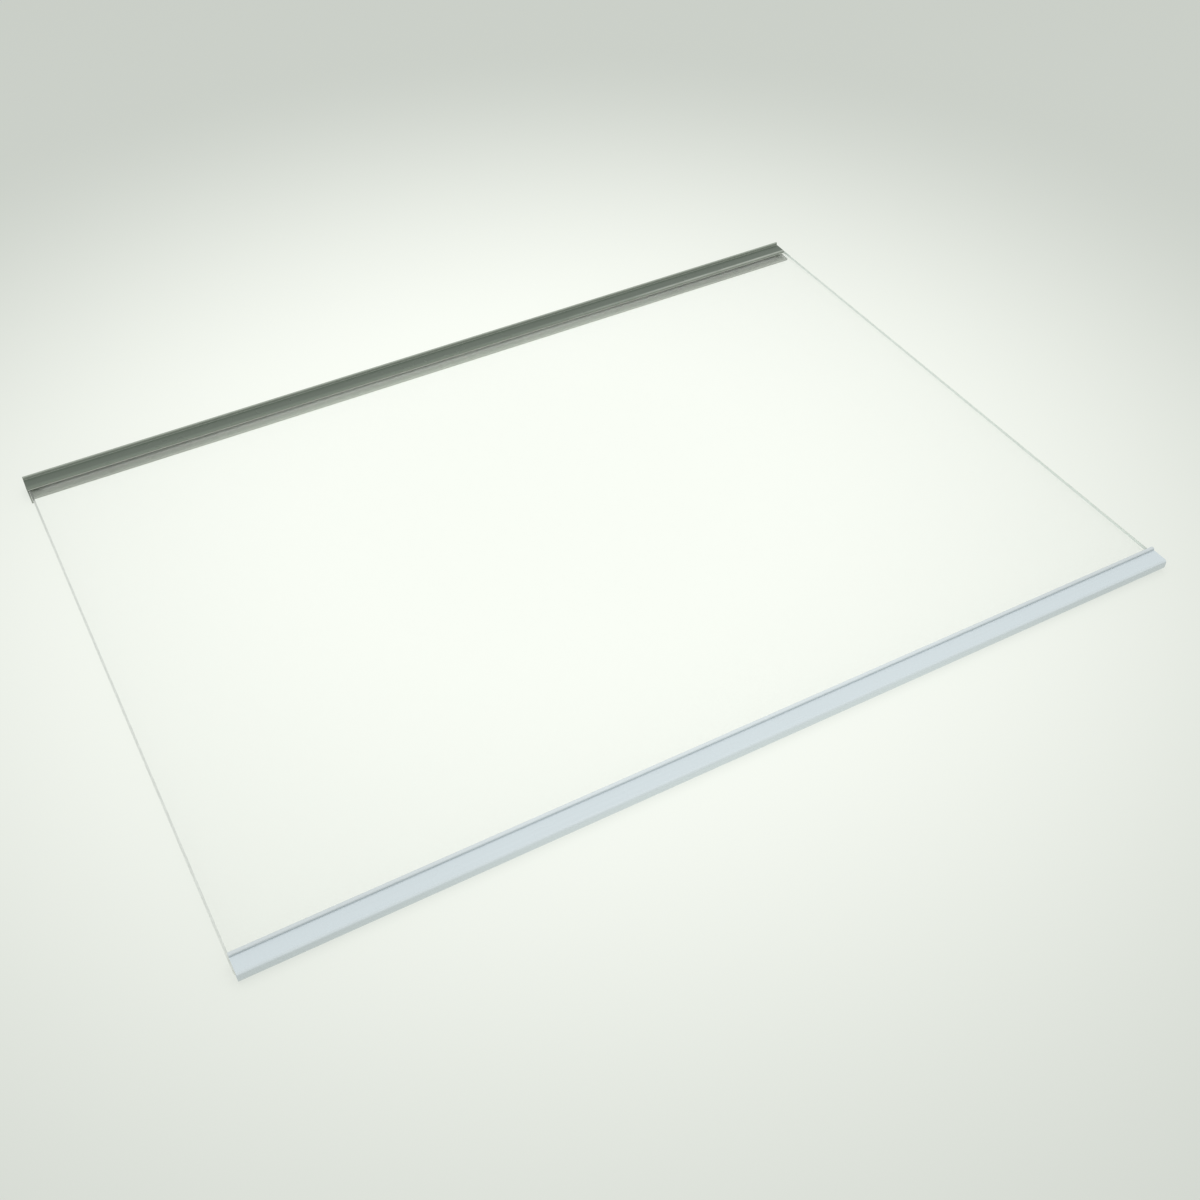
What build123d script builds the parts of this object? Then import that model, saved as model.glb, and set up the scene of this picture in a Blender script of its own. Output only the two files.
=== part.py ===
import os

from build123d import *

# Fridge shelf: a glass pane with a push-on plastic trim along its front and rear edges.
# Millimetres. X runs left to right, Y front to rear, Z up.
# The origin is on the surface that the shelf lies on, under the middle of the glass.

# Glass pane
glass_width = 474.2
glass_depth = 336.0
glass_thickness = 4.0
glass_corner_radius = 2.0
glass_arris = 1.0  # ground bevel around both faces

# Fit of the trims on the glass
grip_clearance = 0.05  # above and below the glass
edge_clearance = 0.2  # between the glass edge and the bottom of the channel

# Walls that both trims share
flange_thickness = 1.2  # under the glass
flange_tip_radius = 0.5
lip_thickness = 1.6  # over the glass
lip_mouth_radius = 0.4  # eases the glass into the channel

# Front trim, depths measured from its front face
front_shortfall = 1.2  # how much shorter than the glass is wide
front_web = 2.4
front_lip_depth = 10.8
front_flange_depth = 13.8
front_top_radius = 1.4
front_chin_radius = 3.4
bead_width = 2.0
bead_height = 1.2
bead_radius = 0.7

# Rear trim, depths measured from its back face
rear_shortfall = 1.8
rear_slip = -1.55  # how far right of centre it was pushed on, so this one sits to the left
rear_web = 1.6
rear_lip_depth = 9.6
rear_flange_depth = 13.6
rear_nose_radius = 0.9
rear_heel_radius = 0.6
rim_thickness = 1.2
rim_height = 1.5
rim_radius = 0.5

# Places that follow from the sizes above
channel_top = flange_thickness + glass_thickness + 2 * grip_clearance
lip_top = channel_top + lip_thickness
bead_top = lip_top + bead_height
rim_top = lip_top + rim_height
glass_bottom = flange_thickness + grip_clearance

front_face = -glass_depth / 2 - edge_clearance - front_web
rear_face = glass_depth / 2 + edge_clearance + rear_web
front_length = glass_width - front_shortfall
front_left_end = -front_length / 2
rear_length = glass_width - rear_shortfall
rear_right_end = rear_slip + rear_length / 2

# Section planes: x is the depth into the shelf, y the height above the surface
front_plane = Plane(origin=(front_left_end, front_face, 0), x_dir=(0, 1, 0), z_dir=(1, 0, 0))
rear_plane = Plane(origin=(rear_right_end, rear_face, 0), x_dir=(0, -1, 0), z_dir=(-1, 0, 0))
glass_plane = Plane.XY.offset(glass_bottom)


def corner_at(section, depth, height):
    return section.vertices().sort_by_distance((depth, height))[0]


# Glass pane: a rounded rectangle with a ground bevel around its top and bottom faces
with BuildPart() as glass_pane:
    with BuildSketch(glass_plane):
        RectangleRounded(glass_width, glass_depth, glass_corner_radius)
    extrude(amount=glass_thickness)
    level_edges = glass_pane.edges().group_by(Axis.Z)
    chamfer(level_edges[0] + level_edges[-1], length=glass_arris)

# Front trim: a channel with a flat top, a spill bead along its inner edge and a rounded chin
with BuildPart() as front_trim:
    with BuildSketch(front_plane) as front_section:
        with BuildLine():
            Polyline(
                (0, 0),
                (front_flange_depth, 0),
                (front_flange_depth, flange_thickness),
                (front_web, flange_thickness),
                (front_web, channel_top),
                (front_lip_depth, channel_top),
                (front_lip_depth, bead_top),
                (front_lip_depth - bead_width, bead_top),
                (front_lip_depth - bead_width, lip_top),
                (0, lip_top),
                close=True,
            )
        make_face()
        fillet(corner_at(front_section, 0, 0), front_chin_radius)
        fillet(corner_at(front_section, 0, lip_top), front_top_radius)
        fillet(corner_at(front_section, front_lip_depth, bead_top), bead_radius)
        fillet(corner_at(front_section, front_lip_depth - bead_width, bead_top), bead_radius)
        fillet(corner_at(front_section, front_lip_depth, channel_top), lip_mouth_radius)
        fillet(corner_at(front_section, front_flange_depth, flange_thickness), flange_tip_radius)
    extrude(amount=front_length)

# Rear trim: a channel with a short lip, a low rim along the back and a longer flange under the glass
with BuildPart() as rear_trim:
    with BuildSketch(rear_plane) as rear_section:
        with BuildLine():
            Polyline(
                (0, 0),
                (rear_flange_depth, 0),
                (rear_flange_depth, flange_thickness),
                (rear_web, flange_thickness),
                (rear_web, channel_top),
                (rear_lip_depth, channel_top),
                (rear_lip_depth, lip_top),
                (rim_thickness, lip_top),
                (rim_thickness, rim_top),
                (0, rim_top),
                close=True,
            )
        make_face()
        fillet(corner_at(rear_section, 0, 0), rear_heel_radius)
        fillet(corner_at(rear_section, 0, rim_top), rim_radius)
        fillet(corner_at(rear_section, rim_thickness, rim_top), rim_radius)
        fillet(corner_at(rear_section, rear_lip_depth, lip_top), rear_nose_radius)
        fillet(corner_at(rear_section, rear_lip_depth, channel_top), lip_mouth_radius)
        fillet(corner_at(rear_section, rear_flange_depth, flange_thickness), flange_tip_radius)
    extrude(amount=rear_length)

glass_pane.part.label = "glass_pane"
front_trim.part.label = "front_trim"
rear_trim.part.label = "rear_trim"

os.makedirs("parts", exist_ok=True)
export_step(glass_pane.part, "parts/glass_pane.step")
export_step(front_trim.part, "parts/front_trim.step")
export_step(rear_trim.part, "parts/rear_trim.step")
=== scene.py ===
import math

import bmesh
import bpy
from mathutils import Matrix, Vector


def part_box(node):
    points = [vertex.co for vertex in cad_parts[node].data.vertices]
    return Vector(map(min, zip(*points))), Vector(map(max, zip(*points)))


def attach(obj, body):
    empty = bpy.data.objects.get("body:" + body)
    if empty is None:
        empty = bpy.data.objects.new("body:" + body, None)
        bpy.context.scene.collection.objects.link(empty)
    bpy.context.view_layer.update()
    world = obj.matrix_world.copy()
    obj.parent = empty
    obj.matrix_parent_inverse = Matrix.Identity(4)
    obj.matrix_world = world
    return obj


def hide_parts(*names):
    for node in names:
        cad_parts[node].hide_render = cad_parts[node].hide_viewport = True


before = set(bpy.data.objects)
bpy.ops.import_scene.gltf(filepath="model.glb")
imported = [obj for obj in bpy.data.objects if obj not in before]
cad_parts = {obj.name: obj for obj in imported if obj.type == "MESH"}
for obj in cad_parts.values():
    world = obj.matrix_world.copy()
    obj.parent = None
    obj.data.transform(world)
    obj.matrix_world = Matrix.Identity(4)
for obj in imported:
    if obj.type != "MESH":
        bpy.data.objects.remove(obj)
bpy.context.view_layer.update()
print("frame loaded:", sorted(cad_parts))


# Modelling helpers

modelling = {
    "samePlace": 0.00002,  # metres within which two places count as one
    "facing": 0.9,  # least share of a face's normal along the way that it faces
    "mergeAngle": 0.5,
    "smoothAngle": 30.0,
    "flatWeight": 100,
}


def startBlock(name, low, high):
    bpy.ops.object.select_all(action="DESELECT")  # the load leaves the CAD nodes selected
    bpy.ops.mesh.primitive_cube_add(size=1, location=(low + high) / 2)
    block = bpy.context.object
    block.name = name
    block.data.name = name
    block.scale = high - low
    bpy.ops.object.transform_apply(location=True, rotation=True, scale=True)
    bpy.ops.object.mode_set(mode="EDIT")
    return block


def pickFaces(piece, wanted):
    bpy.ops.mesh.select_mode(type="FACE")
    bpy.ops.mesh.select_all(action="DESELECT")
    mesh = bmesh.from_edit_mesh(piece.data)
    for face in mesh.faces:
        if wanted(face.calc_center_median(), face.normal):
            face.select_set(True)
    bmesh.update_edit_mesh(piece.data)


def pickEdges(piece, wanted):
    bpy.ops.mesh.select_mode(type="EDGE")
    bpy.ops.mesh.select_all(action="DESELECT")
    mesh = bmesh.from_edit_mesh(piece.data)
    for edge in mesh.edges:
        if wanted(edge.verts[0].co, edge.verts[1].co):
            edge.select_set(True)
    bmesh.update_edit_mesh(piece.data)


def near(a, b):
    return abs(a - b) < modelling["samePlace"]


def facing(share):
    return share > modelling["facing"]


def cutAt(place, normal):
    bpy.ops.mesh.select_all(action="SELECT")
    bpy.ops.mesh.bisect(plane_co=place, plane_no=normal)


def pullOut(move):
    bpy.ops.mesh.extrude_region_move(TRANSFORM_OT_translate={"value": move})


def roundOff(radius, steps):
    bpy.ops.mesh.bevel(offset=radius, offset_type="OFFSET", segments=steps, profile=0.5, affect="EDGES")


def finishPiece(piece, node):
    bpy.ops.mesh.select_all(action="SELECT")
    bpy.ops.mesh.normals_make_consistent(inside=False)
    bpy.ops.object.mode_set(mode="OBJECT")
    bpy.ops.object.shade_smooth_by_angle(angle=math.radians(modelling["smoothAngle"]))
    # keeps the flat faces flat beside their fillets
    flatten = piece.modifiers.new("flatFaces", "WEIGHTED_NORMAL")
    flatten.mode = "FACE_AREA"
    flatten.weight = modelling["flatWeight"]
    flatten.keep_sharp = True
    bpy.ops.object.modifier_apply(modifier=flatten.name)
    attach(piece, "root")
    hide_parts(node)
    print(piece.name, "has", len(piece.data.polygons), "faces")


# Material helpers

def addNode(tree, kind, place, **settings):
    node = tree.nodes.new(kind)
    node.location = place
    for name, value in settings.items():
        setattr(node, name, value)
    return node


def setInputs(node, **values):
    for name, value in values.items():
        node.inputs[name].default_value = value
    return node


def feed(tree, given, socket):
    # a number or a colour is set on the socket, and another node's output is linked to it
    if isinstance(given, (int, float)):
        socket.default_value = given
    elif isinstance(given, tuple):
        socket.default_value = (*given, 1.0)
    else:
        tree.links.new(given, socket)


def addMath(tree, operation, place, first, second=None):
    node = addNode(tree, "ShaderNodeMath", place, operation=operation)
    feed(tree, first, node.inputs[0])
    if second is not None:
        feed(tree, second, node.inputs[1])
    return node.outputs[0]


def addRamp(tree, place, value, low, high, toLow=0.0, toHigh=1.0):
    node = addNode(tree, "ShaderNodeMapRange", place, interpolation_type="SMOOTHSTEP")
    feed(tree, value, node.inputs["Value"])
    feed(tree, low, node.inputs["From Min"])
    feed(tree, high, node.inputs["From Max"])
    feed(tree, toLow, node.inputs["To Min"])
    feed(tree, toHigh, node.inputs["To Max"])
    return node.outputs["Result"]


def addMix(tree, place, factor, first, second):
    node = addNode(tree, "ShaderNodeMix", place, data_type="RGBA", clamp_factor=True)
    feed(tree, factor, node.inputs[0])
    feed(tree, first, node.inputs[6])  # 6, 7 and 2 are the node's colour sockets
    feed(tree, second, node.inputs[7])
    return node.outputs[2]


def addTones(tree, place, value, tones):
    node = addNode(tree, "ShaderNodeValToRGB", place)
    feed(tree, value, node.inputs[0])
    stops = node.color_ramp.elements
    while len(stops) < len(tones):
        stops.new(0.5)
    for stop, (position, colour) in zip(stops, tones):
        stop.position = position
        stop.color = (*colour, 1.0)
    return node.outputs[0]


def splitPlace(tree, place):
    # where the point lies in the object, as X, Y and Z
    x, y = place
    coords = addNode(tree, "ShaderNodeTexCoord", place)
    split = addNode(tree, "ShaderNodeSeparateXYZ", (x + 200, y))
    tree.links.new(coords.outputs["Object"], split.inputs[0])
    return split.outputs


def addDistance(tree, place, across, up):
    # how far the point lies from an edge that runs along the trim
    x, y = place
    apart = addNode(tree, "ShaderNodeCombineXYZ", place)
    tree.links.new(across, apart.inputs[0])
    tree.links.new(up, apart.inputs[1])
    length = addNode(tree, "ShaderNodeVectorMath", (x + 200, y), operation="LENGTH")
    tree.links.new(apart.outputs[0], length.inputs[0])
    return length.outputs["Value"]


def startGroup(name, inputs, outputs):
    group = bpy.data.node_groups.new(name, "ShaderNodeTree")
    for label, value in inputs.items():
        socket = group.interface.new_socket(label, in_out="INPUT", socket_type="NodeSocketFloat")
        socket.default_value = value
    for label in outputs:
        group.interface.new_socket(label, in_out="OUTPUT", socket_type="NodeSocketFloat")
    given = addNode(group, "NodeGroupInput", (-900, 0)).outputs
    made = addNode(group, "NodeGroupOutput", (700, 0)).inputs
    return group, given, made


def useGroup(tree, group, place, **values):
    node = addNode(tree, "ShaderNodeGroup", place, node_tree=group)
    setInputs(node, **values)
    return node.outputs


def startMaterial(name):
    material = bpy.data.materials.new(name)
    material.use_nodes = True
    tree = material.node_tree
    tree.nodes.clear()
    shader = addNode(tree, "ShaderNodeBsdfPrincipled", (300, 0))
    output = addNode(tree, "ShaderNodeOutputMaterial", (900, 0))
    return material, tree, shader, output


# Die lines

streaks = {
    "detail": 3.0,
    "roughness": 0.6,
    "start": 0.3,  # noise level where a streak starts
    "full": 0.7,
}


def makeDieLines():
    # fine streaks that the extrusion die leaves along the trim
    group, given, made = startGroup("dieLines", {"Spacing": 0.0004, "Run": 0.15}, ["Lines"])
    at = splitPlace(group, (-900, 300))
    along = addMath(group, "DIVIDE", (-500, 400), at["X"], given["Run"])
    across = addMath(group, "DIVIDE", (-500, 250), at["Y"], given["Spacing"])
    height = addMath(group, "DIVIDE", (-500, 100), at["Z"], given["Spacing"])
    joined = addNode(group, "ShaderNodeCombineXYZ", (-300, 250))
    group.links.new(along, joined.inputs[0])
    group.links.new(across, joined.inputs[1])
    group.links.new(height, joined.inputs[2])
    noise = addNode(group, "ShaderNodeTexNoise", (-100, 250))
    setInputs(noise, Scale=1.0, Detail=streaks["detail"], Roughness=streaks["roughness"])
    group.links.new(joined.outputs[0], noise.inputs["Vector"])
    lines = addRamp(group, (200, 250), noise.outputs["Fac"], streaks["start"], streaks["full"])
    group.links.new(lines, made["Lines"])
    return group


# Handling marks

touches = {
    "Smears": {"size": "Patch", "row": 300, "detail": 4.0, "roughness": 0.55, "start": 0.42, "full": 0.72},
    "Specks": {"size": "Speck", "row": 0, "detail": 1.0, "roughness": 0.55, "start": 0.74, "full": 0.8},
}


def makeHandling():
    # faint wiping marks and dust
    group, given, made = startGroup("handling", {"Patch": 0.06, "Speck": 0.0009}, ["Smears", "Specks"])
    place = addNode(group, "ShaderNodeTexCoord", (-900, 300))
    for label, touch in touches.items():
        scale = addMath(group, "DIVIDE", (-600, touch["row"]), 1.0, given[touch["size"]])
        noise = addNode(group, "ShaderNodeTexNoise", (-300, touch["row"]))
        setInputs(noise, Detail=touch["detail"], Roughness=touch["roughness"])
        group.links.new(place.outputs["Object"], noise.inputs["Vector"])
        group.links.new(scale, noise.inputs["Scale"])
        mark = addRamp(group, (0, touch["row"]), noise.outputs["Fac"], touch["start"], touch["full"])
        group.links.new(mark, made[label])
    return group


# Walls of a trim's section

zones = {
    "upstandRise": 0.0003,  # height over which the upstand comes in
    "creaseReach": 0.001,
    "creaseCore": 0.0002,
    "tongueStart": 0.3,  # starts and fulls are shares of the lip's depth
    "tongueFull": 0.6,
    "tongueTop": 0.001225,  # just under the glass
    "mouthStart": 0.9,
    "mouthFull": 0.96,
    "mouthDrop": 0.0008,  # from the lip's top
    "mouthFullDrop": 0.0011,
    "mouthFloor": 0.004,  # keeps the flange out
}


def makeWalls():
    # where a point lies in a trim's section: depth from the outer face, the upstand and the crease at its
    # foot, the mouth of the lip, and the tongue under the glass
    inputs = {"Outer Face": 0.0, "Inward": 1.0, "Lip Depth": 0.01, "Lip Top": 0.0069, "Foot": 0.001}
    group, given, made = startGroup("trimWalls", inputs, ["Depth", "Upstand", "Crease", "Mouth", "Tongue"])
    at = splitPlace(group, (-900, 300))
    depth = addMath(group, "SUBTRACT", (-500, 300), at["Y"], given["Outer Face"])
    depth = addMath(group, "MULTIPLY", (-300, 300), depth, given["Inward"])
    share = addMath(group, "DIVIDE", (-100, 400), depth, given["Lip Depth"])
    group.links.new(share, made["Depth"])

    above = addMath(group, "SUBTRACT", (-500, -50), at["Z"], given["Lip Top"])
    upstand = addRamp(group, (-100, -50), above, 0.0, zones["upstandRise"])
    group.links.new(upstand, made["Upstand"])

    beside = addMath(group, "SUBTRACT", (-500, -250), depth, given["Foot"])
    fromFoot = addDistance(group, (-300, -250), beside, above)
    crease = addRamp(group, (100, -250), fromFoot, zones["creaseReach"], zones["creaseCore"])
    group.links.new(crease, made["Crease"])

    inner = addRamp(group, (100, 250), share, zones["tongueStart"], zones["tongueFull"])
    low = addMath(group, "LESS_THAN", (-100, 100), at["Z"], zones["tongueTop"])
    tongue = addMath(group, "MULTIPLY", (300, 200), inner, low)
    group.links.new(tongue, made["Tongue"])

    below = addRamp(group, (100, -450), above, -zones["mouthDrop"], -zones["mouthFullDrop"])
    tip = addRamp(group, (100, -600), share, zones["mouthStart"], zones["mouthFull"])
    mouth = addMath(group, "MULTIPLY", (300, -500), below, tip)
    high = addMath(group, "GREATER_THAN", (100, -750), at["Z"], zones["mouthFloor"])
    mouth = addMath(group, "MULTIPLY", (500, -500), mouth, high)
    group.links.new(mouth, made["Mouth"])
    return group


# Saw-cut ends

sawCut = {
    "Mask": (0.00012, 0.00002),  # metres from an end where each comes in and where it is full
    "Near": (0.17, 0.03),
    "Tip": (0.012, 0.002),
    "slant": 0.35,
    "markScale": 2200.0,
    "markDetail": 2.0,
}


def makeCutEnds():
    # a mask of the ends, the saw's fine marks as a height, and the stretches of trim near the ends
    outputs = ["Mask", "Marks", "Near", "Tip"]
    group, given, made = startGroup("cutEnds", {"Left": -0.2, "Right": 0.2}, outputs)
    at = splitPlace(group, (-900, 300))
    left = addMath(group, "SUBTRACT", (-500, 400), at["X"], given["Left"])
    right = addMath(group, "SUBTRACT", (-500, 250), given["Right"], at["X"])
    nearest = addMath(group, "MINIMUM", (-300, 300), left, right)
    for label, row in (("Mask", 300), ("Near", 500), ("Tip", 700)):
        stretch = addRamp(group, (-100, row), nearest, *sawCut[label])
        group.links.new(stretch, made[label])
    slant = addMath(group, "MULTIPLY", (-500, 50), at["Z"], sawCut["slant"])
    slant = addMath(group, "ADD", (-300, 50), slant, at["Y"])
    lines = addNode(group, "ShaderNodeTexNoise", (0, 50), noise_dimensions="1D")
    setInputs(lines, Scale=sawCut["markScale"], Detail=sawCut["markDetail"])
    group.links.new(slant, lines.inputs["W"])
    group.links.new(lines.outputs["Fac"], made["Marks"])
    return group


# Painted edge highlights

highlightPatches = {
    "patchScale": 45.0,
    "patchDetail": 4.0,
    "patchStart": 0.25,
    "patchFull": 0.6,
    "leastWear": 0.5,
}


def makeEdgeWear():
    # painted highlight: plastic painted paler along a rounded edge, in patches that grow from Start to End
    # along the trim
    inputs = {"Edge Y": 0.0, "Edge Z": 0.0069, "Reach": 0.0008, "Start": 0.0, "End": 0.2}
    group, given, made = startGroup("edgeWear", inputs, ["Wear"])
    at = splitPlace(group, (-900, 300))
    across = addMath(group, "SUBTRACT", (-500, 400), at["Y"], given["Edge Y"])
    height = addMath(group, "SUBTRACT", (-500, 250), at["Z"], given["Edge Z"])
    fromEdge = addDistance(group, (-300, 300), across, height)
    nearby = addRamp(group, (100, 300), fromEdge, given["Reach"], 0.0)
    growth = addRamp(group, (-300, 0), at["X"], given["Start"], given["End"])
    noise = addNode(group, "ShaderNodeTexNoise", (-300, -200), noise_dimensions="1D")
    setInputs(noise, Scale=highlightPatches["patchScale"], Detail=highlightPatches["patchDetail"])
    group.links.new(at["X"], noise.inputs["W"])
    patchy = noise.outputs["Fac"]
    patches = addRamp(
        group, (-100, -200), patchy, highlightPatches["patchStart"], highlightPatches["patchFull"], highlightPatches["leastWear"], 1.0
    )
    highlit = addMath(group, "MULTIPLY", (100, 0), growth, patches)
    highlight = addMath(group, "MULTIPLY", (300, 150), nearby, highlit)
    group.links.new(highlight, made["Wear"])
    return group


dieLines = makeDieLines()
handling = makeHandling()
trimWalls = makeWalls()
cutEnds = makeCutEnds()
edgeWear = makeEdgeWear()
print("shared effects made:", len(bpy.data.node_groups))


# Plastic of the trims

plastics = {
    "ior": 1.49,
    # colour of the painted shade mixed in towards the ends
    "endShade": (0.1, 0.1, 0.09),
    "streak": (0.0, 0.0, 0.0),
    "dust": (0.8, 0.8, 0.78),
    "rootEnd": 0.8,  # this and the next three are shares of the lip's depth
    "tongueStart": 1.25,
    "faceEnd": 0.13,
    "faceFull": 0.02,
    "bumpStrength": 0.6,
}


def makePlastic(name, look, section, highlighted, low, high):
    material, tree, shader, output = startMaterial(name)
    lines = useGroup(tree, dieLines, (-900, 400), Spacing=look["lineSpacing"])
    marks = useGroup(tree, handling, (-900, 150), Patch=look["smearSize"])
    walls = useGroup(tree, trimWalls, (-900, -100), **section)
    ends = useGroup(tree, cutEnds, (-900, -350), Left=low.x, Right=high.x)
    highlight = useGroup(tree, edgeWear, (-900, -550), **highlighted)

    # tones, paler where the walls are thin, which is painted light, with the crease at the upstand's foot
    # painted to set its shade
    colour = addTones(tree, (-700, 600), walls["Depth"], look["tones"])
    colour = addMix(tree, (-500, 400), walls["Upstand"], colour, look["upstand"])
    colour = addMix(tree, (-450, 400), walls["Crease"], colour, look["crease"])
    colour = addMix(tree, (-430, 400), walls["Mouth"], colour, look["mouth"])
    # painted light: the tongue root is pale to lift the shade under the lip, except near the ends, where
    # the tongue keeps its own tone
    outward = addRamp(tree, (-600, 800), walls["Depth"], plastics["rootEnd"], plastics["tongueStart"])
    root = addMix(tree, (-600, 950), ends["Tip"], look["tongueRoot"], look["tongue"])
    tongue = addMix(tree, (-500, 800), outward, root, look["tongue"])
    colour = addMix(tree, (-400, 400), walls["Tongue"], colour, tongue)

    # painted shade, which darkens the trim towards the ends
    face = (plastics["faceEnd"], plastics["faceFull"])
    endShade = addRamp(tree, (-600, 1100), walls["Depth"], *face, look["topEndShade"], look["faceEndShade"])
    endShade = addRamp(tree, (-550, 1100), walls["Upstand"], 0.0, 1.0, endShade, look["upstandEndShade"])
    endShade = addRamp(tree, (-500, 1100), walls["Tongue"], 0.0, 1.0, endShade, look["tongueEndShade"])
    endShade = addMath(tree, "MULTIPLY", (-400, 1100), endShade, ends["Near"])
    colour = addMix(tree, (-380, 400), endShade, colour, plastics["endShade"])

    # painted edge highlight, streaks, cut ends and dust
    colour = addMix(tree, (-350, 400), highlight["Wear"], colour, look["highlit"])
    streak = addMath(tree, "MULTIPLY", (-400, 600), lines["Lines"], look["streak"])
    colour = addMix(tree, (-300, 400), streak, colour, plastics["streak"])
    colour = addMix(tree, (-200, 400), ends["Mask"], colour, look["cut"])
    dust = addMath(tree, "MULTIPLY", (-400, 200), marks["Specks"], look["dust"])
    colour = addMix(tree, (0, 400), dust, colour, plastics["dust"])
    tree.links.new(colour, shader.inputs["Base Color"])

    rough = addRamp(tree, (-400, 50), marks["Smears"], 0.0, 1.0, look["gloss"], look["dull"])
    rough = addRamp(tree, (-200, 50), ends["Mask"], 0.0, 1.0, rough, look["cutRough"])
    tree.links.new(rough, shader.inputs["Roughness"])

    sawn = addMath(tree, "MULTIPLY", (-400, -350), ends["Marks"], ends["Mask"])
    relief = addMath(tree, "MULTIPLY", (-400, -200), lines["Lines"], look["lineDepth"])
    relief = addMath(tree, "ADD", (-200, -250), relief, sawn)
    bump = addNode(tree, "ShaderNodeBump", (0, -250))
    setInputs(bump, Strength=plastics["bumpStrength"], Distance=look["relief"])
    tree.links.new(relief, bump.inputs["Height"])
    tree.links.new(bump.outputs["Normal"], shader.inputs["Normal"])

    setInputs(shader, IOR=plastics["ior"])
    tree.links.new(shader.outputs[0], output.inputs["Surface"])
    return material


# Glass pane

pane = {
    "cornerRadius": 0.002,
    "cornerSteps": 8,
    "arris": 0.001,
    "edgeEase": 0.00006,
    "easeSteps": 2,
    "ior": 1.52,
    "tint": (0.978, 0.982, 0.976),
    "shadowTint": (0.986, 0.988, 0.985),
    "bodyTint": (0.55, 0.93, 0.8),
    "bodyDensity": 0.8,
    "smearSize": 0.09,
    "smearRough": 0.035,
    "edgeTint": (0.9, 0.92, 0.9),  # lamplight that gets through the ground edge
    "arrisDark": (0.645, 0.67, 0.64),
    "arrisPale": (0.745, 0.77, 0.74),
    # painted light: the side is paler than the bevels for the light that reaches it through the glass
    "sideDark": (0.73, 0.755, 0.715),
    "sidePale": (0.85, 0.87, 0.83),
    "bevelBlend": 0.0001,
    # the rear trim painted dark into the upper bevel, standing in for its view through the glass at the
    # corner that it wraps
    "paintedTrimView": (0.1, 0.11, 0.097),
    "paintedTrimViewInside": 0.87,
    "paintedTrimViewBeside": 0.2,
    "paintedTrimViewReach": 0.045,  # metres before the trim where it starts to show
    "paintedTrimViewStart": 0.0065,  # where it starts to darken more
    "paintedTrimViewFull": 0.0025,  # and where it is at its darkest
    "gritScale": (2500.0, 300.0, 2500.0),  # the wheel's marks run along the bare sides
    "gritDetail": 3.0,
    "gritRoughness": 0.6,
    "gritStart": 0.35,
    "gritFull": 0.65,
    "gritDepth": 0.00002,
    "gritBump": 0.5,
    "groundFine": 0.42,
    "groundCoarse": 0.6,
}


def passLamps(tree, shader, output, tint):
    # lamps and bounced light go straight through, so the pane throws hardly any shadow
    clear = addNode(tree, "ShaderNodeBsdfTransparent", (300, -500))
    clear.inputs["Color"].default_value = (*tint, 1.0)
    rays = addNode(tree, "ShaderNodeLightPath", (300, 500))
    bounced = addNode(tree, "ShaderNodeMixShader", (550, 100))
    tree.links.new(rays.outputs["Is Diffuse Ray"], bounced.inputs[0])
    tree.links.new(shader.outputs[0], bounced.inputs[1])
    tree.links.new(clear.outputs[0], bounced.inputs[2])
    lamps = addNode(tree, "ShaderNodeMixShader", (720, 0))
    tree.links.new(rays.outputs["Is Shadow Ray"], lamps.inputs[0])
    tree.links.new(bounced.outputs[0], lamps.inputs[1])
    tree.links.new(clear.outputs[0], lamps.inputs[2])
    tree.links.new(lamps.outputs[0], output.inputs["Surface"])


def makeGlass():
    material, tree, shader, output = startMaterial("clearGlass")
    marks = useGroup(tree, handling, (-900, 100), Patch=pane["smearSize"])
    rough = addRamp(tree, (-400, 100), marks["Smears"], 0.0, 1.0, 0.0, pane["smearRough"])
    tree.links.new(rough, shader.inputs["Roughness"])
    shader.inputs["Base Color"].default_value = (*pane["tint"], 1.0)
    setInputs(shader, IOR=pane["ior"])
    shader.inputs["Transmission Weight"].default_value = 1.0
    passLamps(tree, shader, output, pane["shadowTint"])
    body = addNode(tree, "ShaderNodeVolumeAbsorption", (550, -400))
    body.inputs["Color"].default_value = (*pane["bodyTint"], 1.0)
    body.inputs["Density"].default_value = pane["bodyDensity"]
    tree.links.new(body.outputs[0], output.inputs["Volume"])
    return material


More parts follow.
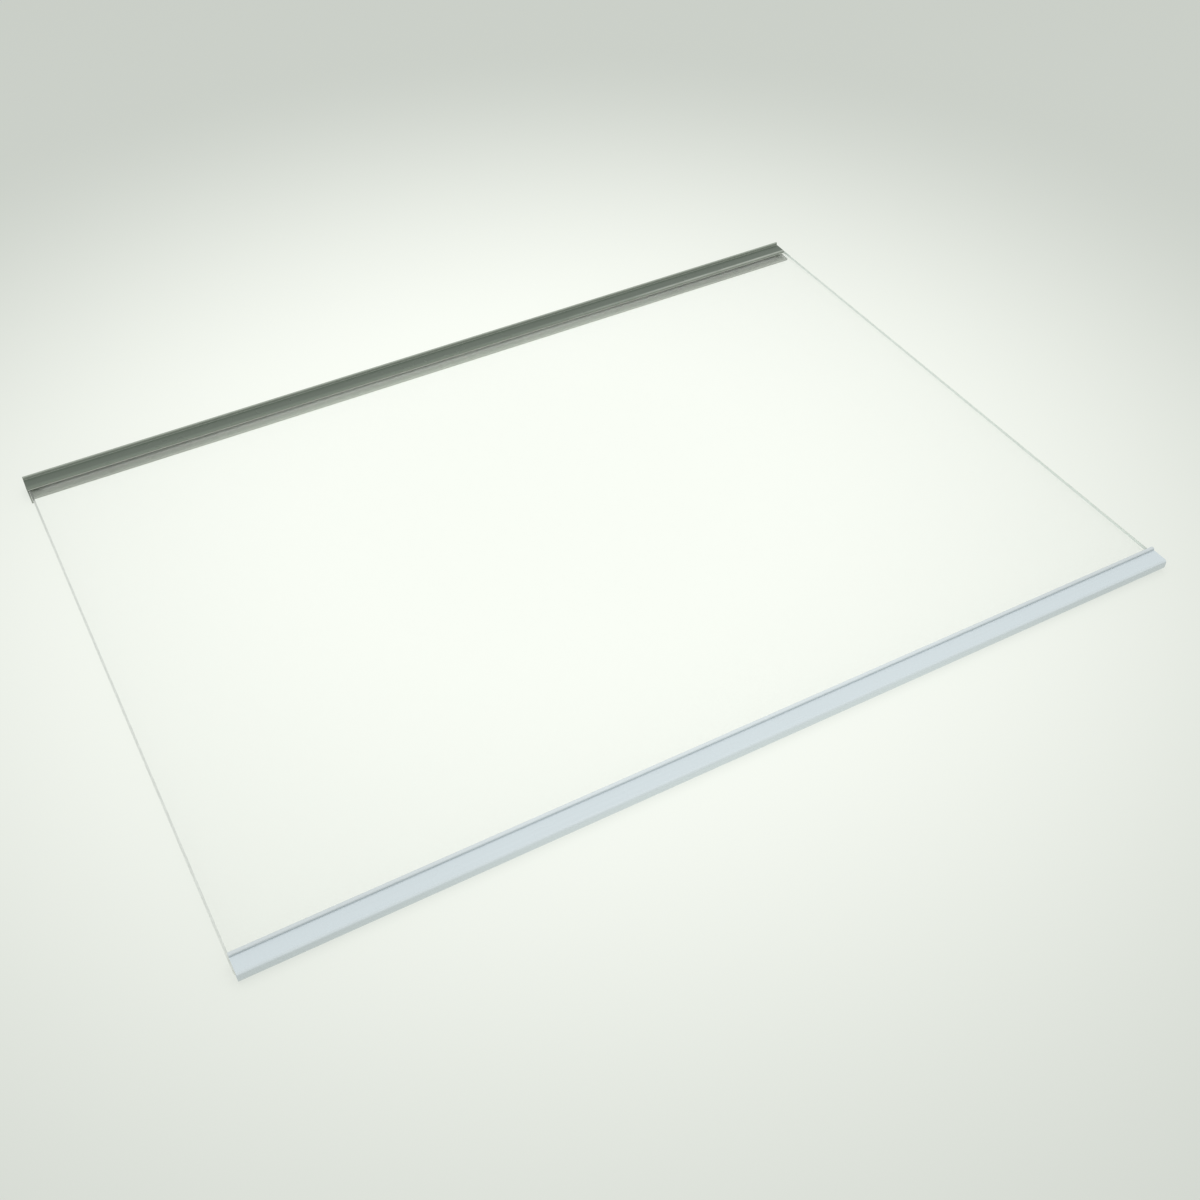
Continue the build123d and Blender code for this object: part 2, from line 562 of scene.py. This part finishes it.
def makeGroundEdge(low, high):
    # the matt edge that the grinding wheel leaves, a little darker on the bevels than on its upright side,
    # where the paler side is painted light that stands in for the light reaching it through the glass
    material, tree, shader, output = startMaterial("groundEdge")
    place = addNode(tree, "ShaderNodeTexCoord", (-1100, 200))
    stretch = setInputs(addNode(tree, "ShaderNodeMapping", (-900, 200)), Scale=pane["gritScale"])
    tree.links.new(place.outputs["Object"], stretch.inputs["Vector"])
    noise = addNode(tree, "ShaderNodeTexNoise", (-700, 200))
    setInputs(noise, Scale=1.0, Detail=pane["gritDetail"], Roughness=pane["gritRoughness"])
    tree.links.new(stretch.outputs[0], noise.inputs["Vector"])
    grit = addRamp(tree, (-500, 200), noise.outputs["Fac"], pane["gritStart"], pane["gritFull"])

    # the side and the bevels
    at = splitPlace(tree, (-1100, -200))
    sideTop = (high.z - low.z) / 2 - pane["arris"]  # from mid height
    bevelStart = sideTop + pane["bevelBlend"]
    height = addMath(tree, "SUBTRACT", (-700, -200), at["Z"], (low.z + high.z) / 2)
    upper = addRamp(tree, (-300, -350), height, sideTop, bevelStart)
    either = addMath(tree, "ABSOLUTE", (-500, -200), height)
    bevel = addRamp(tree, (-300, -200), either, sideTop, bevelStart)
    side = addMix(tree, (-300, 400), grit, pane["sideDark"], pane["sidePale"])
    arris = addMix(tree, (-300, 200), grit, pane["arrisDark"], pane["arrisPale"])
    colour = addMix(tree, (-100, 300), bevel, side, arris)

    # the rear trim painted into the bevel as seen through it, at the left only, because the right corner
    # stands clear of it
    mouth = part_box("rear_trim")[0].y
    reach = mouth - pane["paintedTrimViewReach"]
    beside = addRamp(tree, (-700, -400), at["Y"], reach, mouth, 0.0, pane["paintedTrimViewBeside"])
    start = mouth - pane["paintedTrimViewStart"]
    full = mouth - pane["paintedTrimViewFull"]
    inside = addRamp(tree, (-500, -400), at["Y"], start, full, beside, pane["paintedTrimViewInside"])
    leftSide = addMath(tree, "LESS_THAN", (-500, -600), at["X"], 0.0)
    seen = addMath(tree, "MULTIPLY", (-300, -500), inside, leftSide)
    seen = addMath(tree, "MULTIPLY", (-100, -500), seen, upper)
    colour = addMix(tree, (50, 300), seen, colour, pane["paintedTrimView"])
    tree.links.new(colour, shader.inputs["Base Color"])

    rough = addRamp(tree, (-100, 100), grit, 0.0, 1.0, pane["groundFine"], pane["groundCoarse"])
    tree.links.new(rough, shader.inputs["Roughness"])
    bump = addNode(tree, "ShaderNodeBump", (0, -250))
    setInputs(bump, Strength=pane["gritBump"], Distance=pane["gritDepth"])
    tree.links.new(grit, bump.inputs["Height"])
    tree.links.new(bump.outputs["Normal"], shader.inputs["Normal"])
    setInputs(shader, IOR=pane["ior"])
    passLamps(tree, shader, output, pane["edgeTint"])
    return material


def buildPane():
    low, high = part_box("glass_pane")
    piece = startBlock("shelfGlass", low, high)
    pickEdges(piece, lambda a, b: not near(a.z, b.z))  # the four upright corners
    roundOff(pane["cornerRadius"], pane["cornerSteps"])
    pickFaces(piece, lambda centre, normal: facing(abs(normal.z)))
    bpy.ops.mesh.region_to_loop()
    roundOff(pane["arris"], 1)  # the ground bevel around both faces
    pickFaces(piece, lambda centre, normal: facing(abs(normal.z)))
    bpy.ops.mesh.region_to_loop()
    roundOff(pane["edgeEase"], pane["easeSteps"])
    piece.data.materials.append(makeGlass())
    piece.data.materials.append(makeGroundEdge(low, high))
    pickFaces(piece, lambda centre, normal: not facing(abs(normal.z)))
    piece.active_material_index = 1
    bpy.ops.object.material_slot_assign()
    finishPiece(piece, "glass_pane")


buildPane()


# Trims

trim = {
    "flange": 0.0012,  # wall under the glass
    "channelTop": 0.0053,
    "lipTop": 0.0069,
    "tipRadius": 0.0005,
    "tipSteps": 5,
    "mouthRadius": 0.0004,
    "mouthSteps": 5,
    "endEase": 0.00012,
    "endSteps": 2,
}


def startChannel(name, node, sizes, inward):
    # the upright web first, then the flange and the lip are pulled out of it
    low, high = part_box(node)
    face = low.y if inward > 0 else high.y
    webBack = face + inward * sizes["web"]
    webLow = Vector((low.x, min(face, webBack), low.z))
    webHigh = Vector((high.x, max(face, webBack), trim["lipTop"]))
    piece = startBlock(name, webLow, webHigh)
    cutAt((0, 0, trim["flange"]), (0, 0, 1))
    cutAt((0, 0, trim["channelTop"]), (0, 0, 1))
    pickFaces(piece, lambda centre, normal: facing(normal.y * inward) and centre.z < trim["flange"])
    pullOut((0, inward * (sizes["flangeDepth"] - sizes["web"]), 0))
    pickFaces(piece, lambda centre, normal: facing(normal.y * inward) and centre.z > trim["channelTop"])
    pullOut((0, inward * (sizes["lipDepth"] - sizes["web"]), 0))
    return piece, face, low, high


def raiseUpstand(piece, start, top):
    # pulls up the part of the lip that lies behind start
    def wanted(centre, normal):
        return facing(normal.z) and centre.y > start and centre.z > trim["channelTop"]

    cutAt((0, start, 0), (0, 1, 0))
    pickFaces(piece, wanted)
    pullOut((0, 0, top - trim["lipTop"]))


def mergeFlats():
    bpy.ops.mesh.select_all(action="SELECT")
    bpy.ops.mesh.dissolve_limited(angle_limit=math.radians(modelling["mergeAngle"]))


def roundRun(piece, y, z, radius, steps):
    pickEdges(piece, lambda a, b: near(a.y, y) and near(b.y, y) and near(a.z, z) and near(b.z, z))
    roundOff(radius, steps)


def easeEnds(piece, low, high):
    for end in (low.x, high.x):
        pickEdges(piece, lambda a, b: near(a.x, end) and near(b.x, end))
        roundOff(trim["endEase"], trim["endSteps"])


# Front trim

frontTrim = {
    "web": 0.0024,
    "lipDepth": 0.0108,
    "flangeDepth": 0.0138,
    "topRadius": 0.0014,
    "topSteps": 10,
    "chinRadius": 0.0034,
    "chinSteps": 12,
    "beadWidth": 0.002,
    "beadRadius": 0.0007,
    "beadSteps": 8,
}

frontLook = {
    # painted light: the outer face and its rounded top are paler than the lip's top, and the lip's edge is
    # paler too
    "tones": [
        (0.0, (0.665, 0.73, 0.765)),
        (0.12, (0.6, 0.665, 0.705)),
        (0.78, (0.6, 0.665, 0.705)),
        (1.0, (0.64, 0.7, 0.735)),
    ],
    # painted light: the bead, mouth and tongue are paler as if light showed through the thin walls, the
    # tongue root paler still to lift the shade under the lip; the crease is painted shade
    "upstand": (0.65, 0.705, 0.735),
    "crease": (0.59, 0.65, 0.685),
    "mouth": (0.64, 0.7, 0.735),
    "tongueRoot": (0.7, 0.75, 0.78),
    "tongue": (0.74, 0.79, 0.82),
    # painted highlight tone along the rounded top edge
    "highlit": (0.64, 0.7, 0.735),
    "highlightInset": 0.0004,
    "highlightStart": -0.5,  # both lie beyond the left end, so the painted highlight runs all along
    "highlightEnd": -0.3,
    # painted shade towards the ends
    "topEndShade": 0.03,
    "faceEndShade": 0.14,
    "upstandEndShade": 0.15,
    "tongueEndShade": 0.05,
    "streak": 0.025,
    "cut": (0.66, 0.71, 0.74),
    "gloss": 0.25,
    "dull": 0.37,
    "cutRough": 0.55,
    "lineSpacing": 0.00035,
    "lineDepth": 0.25,
    "relief": 0.00003,
    "smearSize": 0.05,
    "dust": 0.12,
}


def buildFrontTrim():
    piece, face, low, high = startChannel("frontTrim", "front_trim", frontTrim, 1)
    lipEdge = face + frontTrim["lipDepth"]
    beadFront = lipEdge - frontTrim["beadWidth"]
    flangeTip = face + frontTrim["flangeDepth"]
    raiseUpstand(piece, beadFront, high.z)
    mergeFlats()
    roundRun(piece, face, low.z, frontTrim["chinRadius"], frontTrim["chinSteps"])
    roundRun(piece, face, trim["lipTop"], frontTrim["topRadius"], frontTrim["topSteps"])
    roundRun(piece, beadFront, high.z, frontTrim["beadRadius"], frontTrim["beadSteps"])
    roundRun(piece, lipEdge, high.z, frontTrim["beadRadius"], frontTrim["beadSteps"])
    roundRun(piece, lipEdge, trim["channelTop"], trim["mouthRadius"], trim["mouthSteps"])
    roundRun(piece, flangeTip, trim["flange"], trim["tipRadius"], trim["tipSteps"])
    easeEnds(piece, low, high)
    section = {
        "Outer Face": face,
        "Inward": 1.0,
        "Lip Depth": frontTrim["lipDepth"],
        "Lip Top": trim["lipTop"],
        "Foot": beadFront - face,
    }
    highlighted = {
        "Edge Y": face + frontLook["highlightInset"],
        "Edge Z": trim["lipTop"] - frontLook["highlightInset"],
        "Start": frontLook["highlightStart"],
        "End": frontLook["highlightEnd"],
    }
    material = makePlastic("paleTrimPlastic", frontLook, section, highlighted, low, high)
    piece.data.materials.append(material)
    finishPiece(piece, "front_trim")


buildFrontTrim()


# Rear trim

rearTrim = {
    "web": 0.0016,
    "lipDepth": 0.0096,
    "flangeDepth": 0.0136,
    "rimThickness": 0.0012,
    "rimRadius": 0.0005,
    "rimSteps": 6,
    "noseRadius": 0.0009,
    "noseSteps": 8,
    "heelRadius": 0.0006,
    "heelSteps": 6,
}

rearLook = {
    # painted light and shade across the section: darkest mid-lip, paler at the back and much paler at the
    # thin nose
    "tones": [
        (0.0, (0.102, 0.127, 0.1)),
        (0.25, (0.086, 0.109, 0.085)),
        (0.75, (0.09, 0.113, 0.089)),
        (0.88, (0.12, 0.148, 0.117)),
        (1.0, (0.178, 0.207, 0.171)),
    ],
    # painted light: the rim, mouth and tongue are paler as if light showed through the thin walls, the
    # tongue root paler still to lift the shade under the lip; the crease is painted light that lifts the
    # shade at the rim's foot
    "upstand": (0.315, 0.35, 0.302),
    "crease": (0.26, 0.29, 0.25),
    "mouth": (0.53, 0.555, 0.51),
    "tongueRoot": (0.79, 0.815, 0.765),
    "tongue": (0.39, 0.427, 0.37),
    # painted highlight tone along the nose
    "highlit": (0.4, 0.43, 0.386),
    "highlightInset": 0.0008,
    "highlightReach": 0.0011,
    "highlightStart": 0.02,  # the nose has a painted highlight that grows towards the right end
    "highlightEnd": 0.22,
    # painted shade towards the ends
    "topEndShade": 0.0,
    "faceEndShade": 0.0,
    "upstandEndShade": 0.0,
    "tongueEndShade": 0.3,
    "streak": 0.08,
    "cut": (0.16, 0.18, 0.155),
    "gloss": 0.26,
    "dull": 0.38,
    "cutRough": 0.6,
    "lineSpacing": 0.0004,
    "lineDepth": 0.3,
    "relief": 0.00003,
    "smearSize": 0.05,
    "dust": 0.06,
}


def buildRearTrim():
    piece, face, low, high = startChannel("rearTrim", "rear_trim", rearTrim, -1)
    lipEdge = face - rearTrim["lipDepth"]
    rimFront = face - rearTrim["rimThickness"]
    flangeTip = face - rearTrim["flangeDepth"]
    raiseUpstand(piece, rimFront, high.z)
    mergeFlats()
    roundRun(piece, face, low.z, rearTrim["heelRadius"], rearTrim["heelSteps"])
    roundRun(piece, face, high.z, rearTrim["rimRadius"], rearTrim["rimSteps"])
    roundRun(piece, rimFront, high.z, rearTrim["rimRadius"], rearTrim["rimSteps"])
    roundRun(piece, lipEdge, trim["lipTop"], rearTrim["noseRadius"], rearTrim["noseSteps"])
    roundRun(piece, lipEdge, trim["channelTop"], trim["mouthRadius"], trim["mouthSteps"])
    roundRun(piece, flangeTip, trim["flange"], trim["tipRadius"], trim["tipSteps"])
    easeEnds(piece, low, high)
    section = {
        "Outer Face": face,
        "Inward": -1.0,
        "Lip Depth": rearTrim["lipDepth"],
        "Lip Top": trim["lipTop"],
        "Foot": rearTrim["rimThickness"],
    }
    highlighted = {
        "Edge Y": lipEdge + rearLook["highlightInset"],
        "Edge Z": trim["lipTop"],
        "Reach": rearLook["highlightReach"],
        "Start": rearLook["highlightStart"],
        "End": rearLook["highlightEnd"],
    }
    material = makePlastic("greyTrimPlastic", rearLook, section, highlighted, low, high)
    piece.data.materials.append(material)
    finishPiece(piece, "rear_trim")


buildRearTrim()


# Studio: floor, sky, lamp and camera

studio = {
    # the floor's colour is a painted pool of light, pale in the middle and darker far off
    "floorMiddle": (0.964, 0.993, 0.932),
    "floorFar": (0.6, 0.63, 0.585),
    "floorCentre": (0.0, 0.03),
    "floorPool": 0.1,  # metres from there to where the painted pool of light starts to darken the floor
    "floorReach": 0.55,  # and to where it is at its darkest
    "floorGlow": 0.78,  # share of the floor's brightness that comes from its own light, as on a light table
    "floorRough": 0.9,
    "floorSize": 60.0,
    "floorDrop": 0.0001,
    "skyFill": (0.772, 0.784, 0.76),  # light that falls on the shelf from all round
    "horizon": (0.57, 0.598, 0.556),  # meets the far floor
    "overhead": (0.965, 0.98, 0.95),
    "skyRise": 0.35,
    "softboxSize": 1.0,
    "softboxPlace": (0.02, 0.0, 1.1),
    "softboxPower": 5.0,
    "cameraPlace": (-0.2573, -0.5074, 0.50055),
    "cameraTurn": (45.84, 0.643, -28.747),
    "cameraClip": 0.01,
    "sensor": 36.0,
    "lens": 44.54,
}


def buildFloor():
    bpy.ops.object.select_all(action="DESELECT")
    middle = (*studio["floorCentre"], -studio["floorDrop"])
    bpy.ops.mesh.primitive_plane_add(size=studio["floorSize"], location=middle)
    floor = bpy.context.object
    floor.name = "floor"
    material, tree, shader, output = startMaterial("paleFloor")
    place = addNode(tree, "ShaderNodeTexCoord", (-900, 0))
    reach = addNode(tree, "ShaderNodeVectorMath", (-700, 0), operation="LENGTH")
    tree.links.new(place.outputs["Object"], reach.inputs[0])
    # painted pool of light: the floor's colour darkens away from its middle
    away = addRamp(tree, (-500, 0), reach.outputs["Value"], studio["floorPool"], studio["floorReach"])
    colour = addMix(tree, (-200, 0), away, studio["floorMiddle"], studio["floorFar"])
    tree.links.new(colour, shader.inputs["Base Color"])
    setInputs(shader, Roughness=studio["floorRough"])
    shader.inputs["Specular IOR Level"].default_value = 0.0
    glow = addNode(tree, "ShaderNodeEmission", (300, -400))
    tree.links.new(colour, glow.inputs["Color"])
    blend = addNode(tree, "ShaderNodeMixShader", (600, 0))
    blend.inputs[0].default_value = studio["floorGlow"]
    tree.links.new(shader.outputs[0], blend.inputs[1])
    tree.links.new(glow.outputs[0], blend.inputs[2])
    tree.links.new(blend.outputs[0], output.inputs["Surface"])
    floor.data.materials.append(material)


def buildSky():
    world = bpy.data.worlds.new("studioSky")
    bpy.context.scene.world = world
    world.use_nodes = True
    tree = world.node_tree
    tree.nodes.clear()
    # what is seen of the sky, straight or in the glass, is a backdrop, and the rest is even fill
    rays = addNode(tree, "ShaderNodeLightPath", (-600, 300)).outputs
    seen = addMath(tree, "MAXIMUM", (-400, 300), rays["Is Camera Ray"], rays["Is Glossy Ray"])
    seen = addMath(tree, "MAXIMUM", (-200, 300), seen, rays["Is Transmission Ray"])
    view = addNode(tree, "ShaderNodeTexCoord", (-600, -100))
    split = addNode(tree, "ShaderNodeSeparateXYZ", (-400, -100))
    tree.links.new(view.outputs["Generated"], split.inputs[0])
    height = addRamp(tree, (-200, -100), split.outputs["Z"], 0.0, studio["skyRise"])
    backdrop = addMix(tree, (0, -100), height, studio["horizon"], studio["overhead"])
    colour = addMix(tree, (200, 100), seen, studio["skyFill"], backdrop)
    sky = addNode(tree, "ShaderNodeBackground", (400, 0))
    tree.links.new(colour, sky.inputs["Color"])
    output = addNode(tree, "ShaderNodeOutputWorld", (600, 0))
    tree.links.new(sky.outputs[0], output.inputs["Surface"])


def buildLamp():
    bpy.ops.object.light_add(type="AREA", location=studio["softboxPlace"])
    softbox = bpy.context.object
    softbox.name = "softbox"
    softbox.data.shape = "SQUARE"
    softbox.data.size = studio["softboxSize"]
    softbox.data.energy = studio["softboxPower"]
    softbox.visible_glossy = False  # no white patch mirrored in the glass
    softbox.visible_transmission = False


def buildCamera():
    turn = [math.radians(angle) for angle in studio["cameraTurn"]]
    bpy.ops.object.camera_add(location=studio["cameraPlace"], rotation=turn)
    camera = bpy.context.object
    camera.name = "photoCamera"
    camera.data.sensor_width = studio["sensor"]
    camera.data.lens = studio["lens"]
    camera.data.clip_start = studio["cameraClip"]
    bpy.context.scene.camera = camera
    bpy.context.scene.view_settings.view_transform = "Standard"


buildFloor()
buildSky()
buildLamp()
buildCamera()
print("studio ready")
